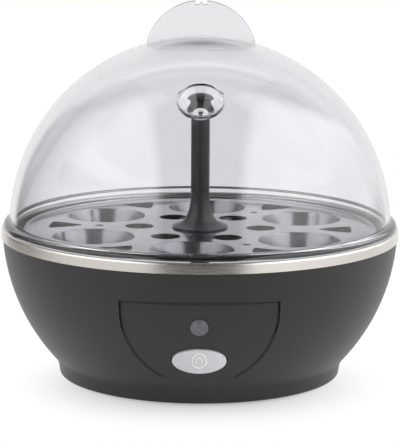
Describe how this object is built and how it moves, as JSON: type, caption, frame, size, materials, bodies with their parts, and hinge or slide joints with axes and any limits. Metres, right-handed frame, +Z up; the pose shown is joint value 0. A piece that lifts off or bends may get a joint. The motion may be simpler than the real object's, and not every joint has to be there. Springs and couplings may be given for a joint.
{
  "type": "electric egg cooker",
  "caption": "Round electric egg cooker: black bowl base with a push button and light, steel band, water pan, lift-out rack with a centre post, and a clear dome lid.",
  "frame": {"origin": "on the table under the middle of the cooker", "axes": "+Z up, -Y towards the front with the button and the light, +X to the right seen from the front"},
  "size_m": [0.189, 0.189, 0.1783],
  "materials": {
    "clear_plastic": "clear, polished",
    "tray_steel": "polished stainless steel",
    "band_steel": "finely brushed all round",
    "pan_steel": "satin stainless steel",
    "bowl_plastic": "fine matte",
    "post_plastic": "satin black",
    "seal_rubber": "silicone",
    "plate_metal": "plain",
    "heater_steel": "heat-tinted tube",
    "ceramic": "glazed ceramic",
    "thermostat_metal": "plain",
    "zinc_steel": "zinc plated",
    "fuse_sleeve": "woven sleeve",
    "button_silver": "satin silver paint",
    "switch_plastic": "plain nylon",
    "lens_plastic": "smoked, domed",
    "lamp_glass": "small lamp",
    "foot_rubber": "soft"
  },
  "bodies": {
    "base": {"steel_band": "band_steel", "water_pan": "pan_steel", "pan_seal": "seal_rubber", "heater_plate": "plate_metal", "heating_element": "heater_steel", "heater_terminals": "ceramic", "thermostat": "ceramic", "thermostat_bracket": "zinc_steel", "thermal_fuse": "fuse_sleeve", "fuse_clip": "zinc_steel", "heater_screws": "zinc_steel", "pan_studs": "zinc_steel", "pan_nuts": "zinc_steel", "housing": "bowl_plastic", "switch_body": "switch_plastic", "indicator_lens": "lens_plastic", "lamp_holder": "switch_plastic", "indicator_lamp": "lamp_glass", "base_cover": "bowl_plastic", "cover_screws": "zinc_steel", "rubber_feet": "foot_rubber", "cord_bush": "foot_rubber", "terminal_block": "switch_plastic"},
    "rack": {"egg_tray": "tray_steel", "egg_cups": "tray_steel", "rack_handle": "post_plastic", "handle_washer": "zinc_steel", "handle_screw": "zinc_steel"},
    "lid": {"lid": "clear_plastic"},
    "button": {"push_button": "button_silver", "switch_plunger": "switch_plastic"}
  },
  "joints": [
    {"name": "rack_lift", "type": "slide", "parent": "base", "child": "rack", "axis": [0, 0, 1], "range_m": [0, 0.09]},
    {"name": "lid_lift", "type": "slide", "parent": "rack", "child": "lid", "axis": [0, 0, 1], "range_m": [0, 0.12]},
    {"name": "button_press", "type": "slide", "parent": "base", "child": "button", "axis": [0, 0.872, 0.4896], "range_m": [0, 0.0025], "stiffness_N_per_m": 800, "springref_m": -0.001}
  ]
}
